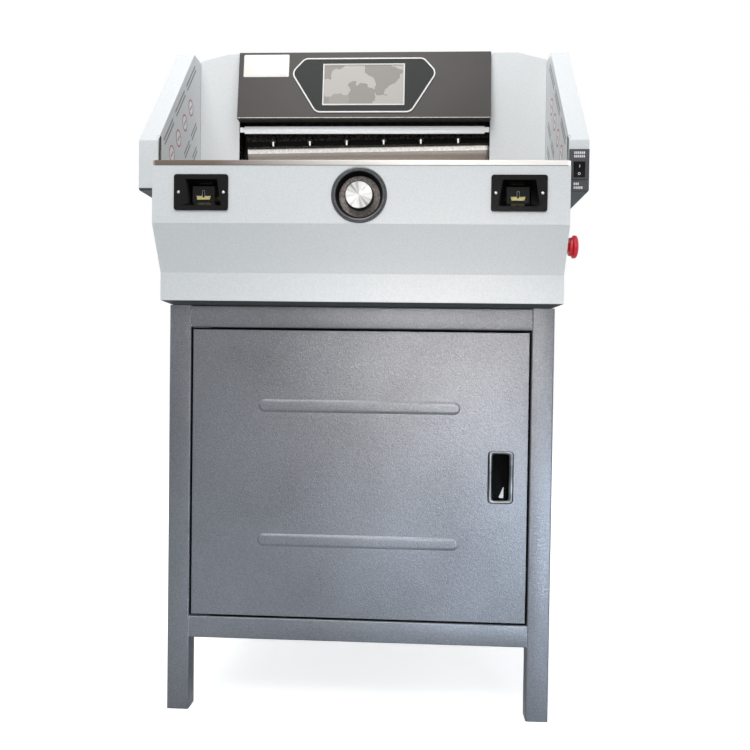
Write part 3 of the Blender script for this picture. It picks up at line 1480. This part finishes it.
def knife():
    """Knife and its carrier: drawn level, with their origin on the left pin, then tilted as raised."""
    pivot = (PIVOT_X, CARRIER_FRONT, PIVOT_Z)
    edge = PIVOT_Z - PIVOT_TO_EDGE
    low = edge + CARRIER_ABOVE_EDGE
    top = PIVOT_Z + CARRIER_TOP_ABOVE_PIVOT
    front, rear = CARRIER_FRONT, CARRIER_FRONT + CARRIER_THICK
    carrier = box("knife_carrier", (KNIFE_LEFT, front, low), (KNIFE_RIGHT, rear, top), "cast_iron")
    lug = box(
        "carrier_lug",
        (KNIFE_RIGHT - OVERRUN, front, ROD_PIN_Z - LUG_HEIGHT / 2),
        (ROD_X + ROD_EYE_RADIUS, rear, ROD_PIN_Z + LUG_HEIGHT / 2),
    )
    roller = rod(
        "carrier_roller",
        (ROLLER_X, GUIDE_FRONT + SLACK, PIVOT_Z),
        (ROLLER_X, front + SLACK, PIVOT_Z),
        ROLLER_RADIUS,
    )
    pin = rod(
        "carrier_rod_pin",
        (ROD_X, rear - SLACK, ROD_PIN_Z),
        (ROD_X, ROD_REAR + SLACK, ROD_PIN_Z),
        ROD_PIN_RADIUS,
    )
    added = [lug, roller, pin]
    bolt_z = low + BOLT_ABOVE_CARRIER_EDGE
    for k in range(BOLT_COUNT):
        x = PORTAL_X + (k - (BOLT_COUNT - 1) / 2) * BOLT_PITCH
        added.append(
            rod(
                f"knife_bolt_{k + 1}",
                (x, front - BOLT_HEAD, bolt_z),
                (x, front + SLACK, bolt_z),
                BOLT_RADIUS,
                steps=BOLT_SIDES,
            )
        )
    bore = rod(
        "cut_carrier_pin_bore",
        (PIVOT_X, front - OVERRUN, PIVOT_Z),
        (PIVOT_X, front + BLOCK_PIN_LENGTH + GAP, PIVOT_Z),
        BLOCK_PIN_RADIUS + GAP,
    )
    cut(join(carrier, *added), bore)

    outline = [
        (KNIFE_BACK, edge),
        (KNIFE_BACK, edge + KNIFE_HEIGHT),
        (rear + GAP, edge + KNIFE_HEIGHT),
        (rear + GAP, edge + KNIFE_BEVEL),
    ]
    blade = prism("knife", outline, "X", KNIFE_LEFT, KNIFE_RIGHT, "knife_steel")
    for item in (carrier, *added, bore, blade):
        at_rest_tilt(item, pivot, -KNIFE_SKEW)


def guide_plate_outline():
    """Front view of the guide plate: its upper corners slope down under the shoulders of the columns."""
    return [
        (GUIDE_LEFT, GUIDE_BOTTOM),
        (GUIDE_RIGHT, GUIDE_BOTTOM),
        (GUIDE_RIGHT, FRAME_TOP),
        (GUIDE_RIGHT - COLUMN_SHOULDER, GUIDE_TOP),
        (GUIDE_LEFT + COLUMN_SHOULDER, GUIDE_TOP),
        (GUIDE_LEFT, FRAME_TOP),
    ]


def knife_guide():
    """Plate in front of the carrier with two slanted slots, and the block that slides in the left one."""
    middle = (GUIDE_FRONT + GUIDE_REAR) / 2
    plate = prism("knife_guide_plate", guide_plate_outline(), "Y", GUIDE_FRONT, GUIDE_REAR, "cast_iron")
    ends = (
        ("left", GUIDE_LEFT, GUIDE_LEFT + GUIDE_FLANGE),
        ("right", GUIDE_RIGHT - GUIDE_FLANGE, GUIDE_RIGHT),
    )
    for name, x0, x1 in ends:
        flange = box(
            f"guide_flange_{name}",
            (x0, GUIDE_REAR - SLACK, GUIDE_BOTTOM),
            (x1, FRAME_FRONT - GAP, FRAME_TOP),
        )
        join(plate, flange)
    right_x, right_z = tilted(ROLLER_X, PIVOT_Z)
    fall = right_z - (PIVOT_Z - KNIFE_STROKE)
    sideways = right_x - (ROLLER_X - KNIFE_SWING)
    for name, x, z, width, length, swing, drop in (
        ("left", PIVOT_X, PIVOT_Z, BLOCK_WIDTH, BLOCK_LENGTH, KNIFE_SWING, KNIFE_STROKE),
        ("right", right_x, right_z, 2 * ROLLER_RADIUS, 2 * ROLLER_RADIUS, sideways, fall),
    ):
        along = Vector((-swing, 0, -drop))
        half = along.length / 2 + length / 2 + SLACK
        slot = box(
            f"cut_{name}_guide_slot",
            (-width / 2 - SLACK, -GUIDE_THICK, -half),
            (width / 2 + SLACK, GUIDE_THICK, half),
        )
        slot.location = Vector((x, middle, z)) + along / 2
        slot.rotation_euler = (0, math.atan2(swing, drop), 0)
        cut(plate, slot)

    block = box(
        "knife_guide_block",
        (-BLOCK_WIDTH / 2, -GUIDE_THICK / 2, -BLOCK_LENGTH / 2),
        (BLOCK_WIDTH / 2, GUIDE_THICK / 2 + SLACK, BLOCK_LENGTH / 2),
        "ground_steel",
    )
    pin = rod(
        "guide_block_pin",
        (0, 0, 0),
        (0, CARRIER_FRONT + BLOCK_PIN_LENGTH - middle, 0),
        BLOCK_PIN_RADIUS,
    )
    for item in (block, pin):
        item.location = (PIVOT_X, middle, PIVOT_Z)
        item.rotation_euler = (0, math.atan2(KNIFE_SWING, KNIFE_STROKE), 0)
    join(block, pin)


def tilted(x, z):
    """Where a point of the level knife beam lies when the beam is tilted as raised."""
    dx, dz = x - PIVOT_X, z - PIVOT_Z
    c, s = math.cos(KNIFE_SKEW), math.sin(KNIFE_SKEW)
    return PIVOT_X + dx * c - dz * s, PIVOT_Z + dx * s + dz * c


def crank():
    """Middle of the crank and its throw: half a turn pulls the knife through its full stroke."""
    top_x, top_z = tilted(ROD_X, ROD_PIN_Z)
    end_x, end_z = ROD_X - KNIFE_SWING, ROD_PIN_Z - KNIFE_STROKE
    rest_low = top_z - ROD_LENGTH
    end_low = end_z - math.sqrt(ROD_LENGTH * ROD_LENGTH - (top_x - end_x) * (top_x - end_x))
    return top_x, (rest_low + end_low) / 2, (rest_low - end_low) / 2


def drive():
    """Pull rod, crank disc and the geared motor that turns it."""
    top_x, top_z = tilted(ROD_X, ROD_PIN_Z)
    low_z = top_z - ROD_LENGTH
    shank = box(
        "pull_rod",
        (top_x - ROD_WIDTH / 2, ROD_FRONT, low_z),
        (top_x + ROD_WIDTH / 2, ROD_REAR, top_z),
        "cast_iron",
    )
    for name, z in (("upper", top_z), ("lower", low_z)):
        eye = rod(f"rod_eye_{name}", (top_x, ROD_FRONT, z), (top_x, ROD_REAR, z), ROD_EYE_RADIUS)
        join(shank, eye)
    bore = rod(
        "cut_rod_eye",
        (top_x, ROD_FRONT - OVERRUN, top_z),
        (top_x, ROD_REAR + OVERRUN, top_z),
        ROD_PIN_RADIUS + GAP,
    )
    pin = rod(
        "rod_crank_pin",
        (top_x, ROD_REAR - SLACK, low_z),
        (top_x, CRANK_FRONT - GAP, low_z),
        ROD_PIN_RADIUS,
    )
    join(cut(shank, bore), pin)
    set_origin(shank, (top_x, ROD_REAR, top_z))

    centre_x, centre_z, throw = crank()
    disc = rod(
        "crank_disc",
        (centre_x, CRANK_FRONT, centre_z),
        (centre_x, CRANK_FRONT + CRANK_THICK, centre_z),
        CRANK_RADIUS,
        "cast_iron",
        steps=ROUND_STEPS,
    )
    shaft_end = FRAME_REAR + CRANK_SHAFT_PAST_FRAME
    shaft = rod(
        "crank_shaft",
        (centre_x, CRANK_FRONT + SLACK, centre_z),
        (centre_x, shaft_end, centre_z),
        CRANK_SHAFT_RADIUS,
    )
    seat = rod(
        "cut_crank_pin_seat",
        (centre_x, CRANK_FRONT - OVERRUN, centre_z + throw),
        (centre_x, CRANK_FRONT + CRANK_THICK / 2, centre_z + throw),
        ROD_PIN_RADIUS + GAP,
    )
    cut(join(disc, shaft), seat)
    set_origin(disc, (centre_x, CRANK_FRONT, centre_z))

    wide, deep, tall = GEARBOX_SIZE
    box_front = FRAME_REAR + FRAME_FOOT_REACH + GAP
    floor = BASE_TOP + GAP
    gearbox = box(
        "main_motor",
        (centre_x - wide / 2, box_front, floor),
        (centre_x + wide / 2, box_front + deep, floor + tall),
        "cast_iron",
    )
    nose = rod(
        "gearbox_nose",
        (centre_x, FRAME_REAR + GAP, centre_z),
        (centre_x, box_front + SLACK, centre_z),
        CRANK_SHAFT_RADIUS + NOSE_WALL,
    )
    motor_z = floor + MOTOR_RADIUS + MOTOR_LIFT
    motor = rod(
        "motor_barrel",
        (centre_x - wide / 2 + SLACK, box_front + deep / 2, motor_z),
        (centre_x - wide / 2 - MOTOR_LENGTH, box_front + deep / 2, motor_z),
        MOTOR_RADIUS,
    )
    socket = rod(
        "cut_gearbox_bore",
        (centre_x, FRAME_REAR - OVERRUN, centre_z),
        (centre_x, shaft_end + GAP, centre_z),
        CRANK_SHAFT_RADIUS + GAP,
    )
    cut(join(gearbox, nose, motor), socket)


def clamp():
    """Clamp beam behind the knife, its upright screw and the motor on the head beam that turns it."""
    left, right = APERTURE_LEFT + CLAMP_END_GAP, APERTURE_RIGHT - CLAMP_END_GAP
    low, high = CLAMP_BOTTOM, CLAMP_BOTTOM + CLAMP_HEIGHT
    beam = box("clamp_beam", (left, CLAMP_FRONT, low), (right, CLAMP_FRONT + CLAMP_DEPTH, high), "cast_iron")
    tongue = box(
        "clamp_tongues",
        (LEFT_FRAME_INNER - CLAMP_TONGUE, CLAMP_SCREW_Y - CLAMP_TONGUE_WIDTH / 2, low + OVERRUN),
        (RIGHT_FRAME_INNER + CLAMP_TONGUE, CLAMP_SCREW_Y + CLAMP_TONGUE_WIDTH / 2, high - OVERRUN),
    )
    screw_low = low + CLAMP_SCREW_END
    bore = rod(
        "cut_clamp_bore",
        (PORTAL_X, CLAMP_SCREW_Y, screw_low - GAP),
        (PORTAL_X, CLAMP_SCREW_Y, high + OVERRUN),
        CLAMP_SCREW_RADIUS + GAP,
    )
    cut(join(beam, tongue), bore)
    screw_top = BEAM_HEIGHT + BEAM_THICK
    screw = rod(
        "clamp_screw",
        (PORTAL_X, CLAMP_SCREW_Y, screw_low),
        (PORTAL_X, CLAMP_SCREW_Y, screw_top),
        CLAMP_SCREW_RADIUS,
        "ground_steel",
    )
    set_origin(screw, (PORTAL_X, CLAMP_SCREW_Y, screw_low))
    rod(
        "clamp_motor",
        (PORTAL_X, CLAMP_SCREW_Y, screw_top + GAP),
        (PORTAL_X, CLAMP_SCREW_Y, screw_top + GAP + CLAMP_MOTOR_HEIGHT),
        CLAMP_MOTOR_RADIUS,
        "black_plastic",
    )


def backgauge():
    """Fence on the rear table, with an arm through the slot to a nut on the screw and rail below."""
    face = GAUGE_FACE
    x0, x1 = PORTAL_X - GAUGE_WIDTH / 2, PORTAL_X + GAUGE_WIDTH / 2
    low = TABLE_TOP + GAP
    fence = box("backgauge", (x0, face, low), (x1, face + GAUGE_WALL, low + GAUGE_HEIGHT), "ground_steel")
    foot = box("gauge_foot", (x0, face + GAUGE_WALL / 2, low), (x1, face + GAUGE_DEPTH, low + GAUGE_WALL))
    arm_front = face + GAUGE_ARM_BACK
    arm = box(
        "gauge_arm",
        (PORTAL_X - GAUGE_SLOT_WIDTH / 2 + GAP, arm_front, GAUGE_SCREW_Z),
        (PORTAL_X + GAUGE_SLOT_WIDTH / 2 - GAP, arm_front + GAUGE_ARM_DEPTH, low + GAUGE_WALL / 2),
    )
    rail_x = PORTAL_X - GAUGE_RAIL_OFFSET
    nut = box(
        "gauge_nut",
        (rail_x - GAUGE_NUT_WIDTH / 2, arm_front, GAUGE_SCREW_Z - GAUGE_NUT_HEIGHT / 2),
        (PORTAL_X + GAUGE_NUT_WIDTH / 2, arm_front + GAUGE_ARM_DEPTH, GAUGE_SCREW_Z + GAUGE_NUT_HEIGHT / 2),
    )
    plate_rear = TABLE_REAR - SHEET - GAP
    plate_front = plate_rear - GAUGE_PLATE
    join(fence, foot, arm, nut)
    for name, x, radius in (("screw", PORTAL_X, GAUGE_SCREW_RADIUS), ("rail", rail_x, GAUGE_RAIL_RADIUS)):
        bore = rod(
            f"cut_gauge_{name}_bore",
            (x, arm_front - OVERRUN, GAUGE_SCREW_Z),
            (x, arm_front + GAUGE_ARM_DEPTH + OVERRUN, GAUGE_SCREW_Z),
            radius + GAP,
        )
        cut(fence, bore)
    screw = rod(
        "backgauge_screw",
        (PORTAL_X, GAUGE_MOTOR_FACE + GAP, GAUGE_SCREW_Z),
        (PORTAL_X, plate_rear - SLACK, GAUGE_SCREW_Z),
        GAUGE_SCREW_RADIUS,
        "ground_steel",
    )
    set_origin(screw, (PORTAL_X, GAUGE_MOTOR_FACE, GAUGE_SCREW_Z))

    half_plate = GAUGE_MOTOR_RADIUS
    rail = rod(
        "backgauge_rail",
        (rail_x, GAUGE_MOTOR_FACE + GAP, GAUGE_SCREW_Z),
        (rail_x, plate_front + SLACK, GAUGE_SCREW_Z),
        GAUGE_RAIL_RADIUS,
        "ground_steel",
    )
    plate = box(
        "gauge_end_plate",
        (rail_x - half_plate / 2, plate_front, GAUGE_SCREW_Z - half_plate),
        (PORTAL_X + half_plate / 2, plate_rear, TABLE_UNDER - GAP),
    )
    bearing = rod(
        "cut_gauge_bearing",
        (PORTAL_X, plate_front - OVERRUN, GAUGE_SCREW_Z),
        (PORTAL_X, plate_rear + OVERRUN, GAUGE_SCREW_Z),
        GAUGE_SCREW_RADIUS + GAP,
    )
    cut(join(rail, plate), bearing)

    motor = rod(
        "backgauge_motor",
        (PORTAL_X, GAUGE_MOTOR_FACE - GAUGE_MOTOR_LENGTH, GAUGE_SCREW_Z),
        (PORTAL_X, GAUGE_MOTOR_FACE, GAUGE_SCREW_Z),
        GAUGE_MOTOR_RADIUS,
        "cast_iron",
    )
    hanger = box(
        "gauge_motor_hanger",
        (rail_x - half_plate / 2, GAUGE_MOTOR_FACE - GAUGE_PLATE, GAUGE_SCREW_Z - half_plate),
        (PORTAL_X + half_plate, GAUGE_MOTOR_FACE, TABLE_UNDER - GAP),
    )
    join(motor, hanger)


def rear_hood():
    """Folded cover over the rear table, open towards the portal."""
    low = TABLE_TOP + GAP
    front, rear = COLUMN_REAR + GAP, TABLE_REAR
    outline = [
        (front, low),
        (rear, low),
        (rear, TABLE_TOP + HOOD_REAR_HEIGHT),
        (front, TABLE_TOP + HOOD_FRONT_HEIGHT),
    ]
    left, right = TABLE_REAR_LEFT + HOOD_SIDE_GAP, TABLE_REAR_RIGHT - HOOD_SIDE_GAP
    cover = prism("rear_hood", outline, "X", left, right, "body_paint")
    inner = inset(outline, SHEET)
    inner = [
        (front - OVERRUN if y < front + 2 * SHEET else y, low - OVERRUN if z < low + 2 * SHEET else z)
        for y, z in inner
    ]
    cut(cover, prism("cut_hood", inner, "X", left + SHEET, right - SHEET))


clear_scene()
PIECES = new_collection("paper_guillotine")
TOOLS = new_collection("cutters")
DATUM = bpy.data.objects.new("datum", None)
DATUM.location = (0, -MIDDLE_DEPTH, 0)
PIECES.objects.link(DATUM)

stand()
cabinet()
door()
body()
side_frames()
table()
columns()
head()
control_panel()
guards()
switch()
knob()
start_buttons()
emergency_stop()
knife_guide()
knife()
drive()
clamp()
backgauge()
rear_hood()
